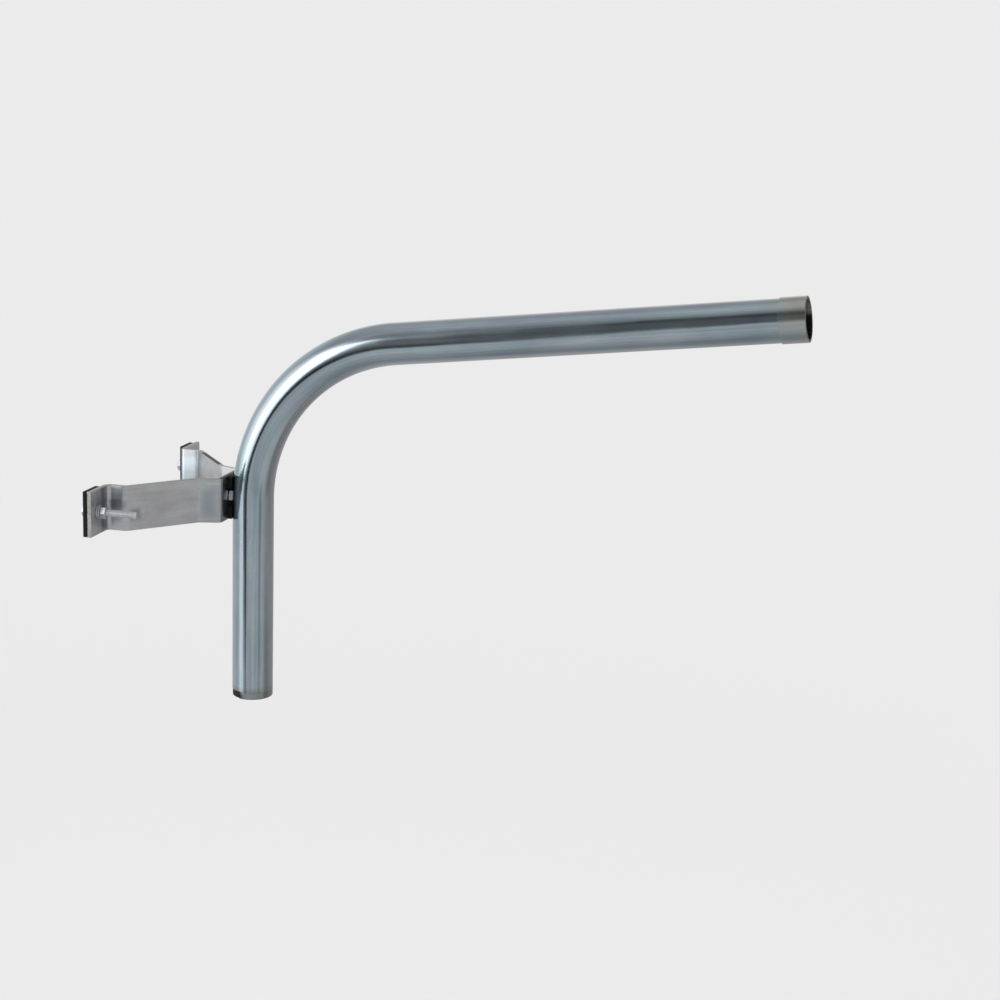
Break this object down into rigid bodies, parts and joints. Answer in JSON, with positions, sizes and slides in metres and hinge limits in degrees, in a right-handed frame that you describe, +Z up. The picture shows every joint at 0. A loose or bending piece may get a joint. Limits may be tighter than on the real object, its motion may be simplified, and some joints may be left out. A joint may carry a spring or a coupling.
{
  "type": "lamp arm with pole clamp",
  "caption": "Bent round tube arm, open at the lamp end and bushed below, bolted to a forked flat-bar pole clamp with padded flanges and long clamp bolts.",
  "frame": {"origin": "middle of the clamp's mouth: on the flanges' pole-side face, halfway between the fork's sides and at half the strap's height", "axes": "+X from the pole side towards the lamp end, +Z up along the tube's upright end, Y across the fork"},
  "size_m": [0.7887, 0.3, 0.5203],
  "materials": {
    "zinc_tube": "zinc plated",
    "end_sleeve": "satin",
    "zinc_strap": "zinc plated",
    "fasteners": "zinc plated",
    "rubber": "matt",
    "grey_plastic": "matt"
  },
  "bodies": {
    "frame": {"arm_tube": "zinc_tube", "arm_end_sleeve": "end_sleeve", "lower_end_bush": "grey_plastic", "clamp_strap": "zinc_strap", "upper_saddle_pad": "rubber", "lower_saddle_pad": "rubber", "fixing_bolt": "fasteners", "fixing_washer": "fasteners", "fixing_spring_washer": "fasteners", "tube_weld_nut": "fasteners", "front_nut_washer": "fasteners", "front_spring_washer": "fasteners", "rear_nut_washer": "fasteners", "rear_spring_washer": "fasteners"},
    "front_nut": {"front_clamp_nut": "fasteners"},
    "front_bolt": {"front_clamp_bolt": "fasteners", "front_head_washer": "fasteners"},
    "front_pad": {"front_clamp_pad": "rubber"},
    "rear_nut": {"rear_clamp_nut": "fasteners"},
    "rear_bolt": {"rear_clamp_bolt": "fasteners", "rear_head_washer": "fasteners"},
    "rear_pad": {"rear_clamp_pad": "rubber"}
  },
  "joints": [
    {"name": "front_nut_spin", "type": "hinge", "parent": "frame", "child": "front_nut", "pos_m": [0, -0.132, 0], "axis": [1, 0, 0], "range_deg": [0, 10080]},
    {"name": "front_bolt_slide", "type": "slide", "parent": "frame", "child": "front_bolt", "axis": [-1, 0, 0], "range_m": [0, 0.035]},
    {"name": "front_pad_turn", "type": "hinge", "parent": "front_bolt", "child": "front_pad", "pos_m": [0, -0.132, 0], "axis": [1, 0, 0], "continuous": true},
    {"name": "rear_nut_spin", "type": "hinge", "parent": "frame", "child": "rear_nut", "pos_m": [0, 0.128, 0], "axis": [1, 0, 0], "range_deg": [0, 10080]},
    {"name": "rear_bolt_slide", "type": "slide", "parent": "frame", "child": "rear_bolt", "axis": [-1, 0, 0], "range_m": [0, 0.035]},
    {"name": "rear_pad_turn", "type": "hinge", "parent": "rear_bolt", "child": "rear_pad", "pos_m": [0, 0.128, 0], "axis": [1, 0, 0], "continuous": true}
  ],
  "couplings": [
    {"joint": "front_nut_spin", "follows": "front_bolt_slide", "rad_per_m": 5026.5},
    {"joint": "rear_nut_spin", "follows": "rear_bolt_slide", "rad_per_m": 5026.5}
  ]
}
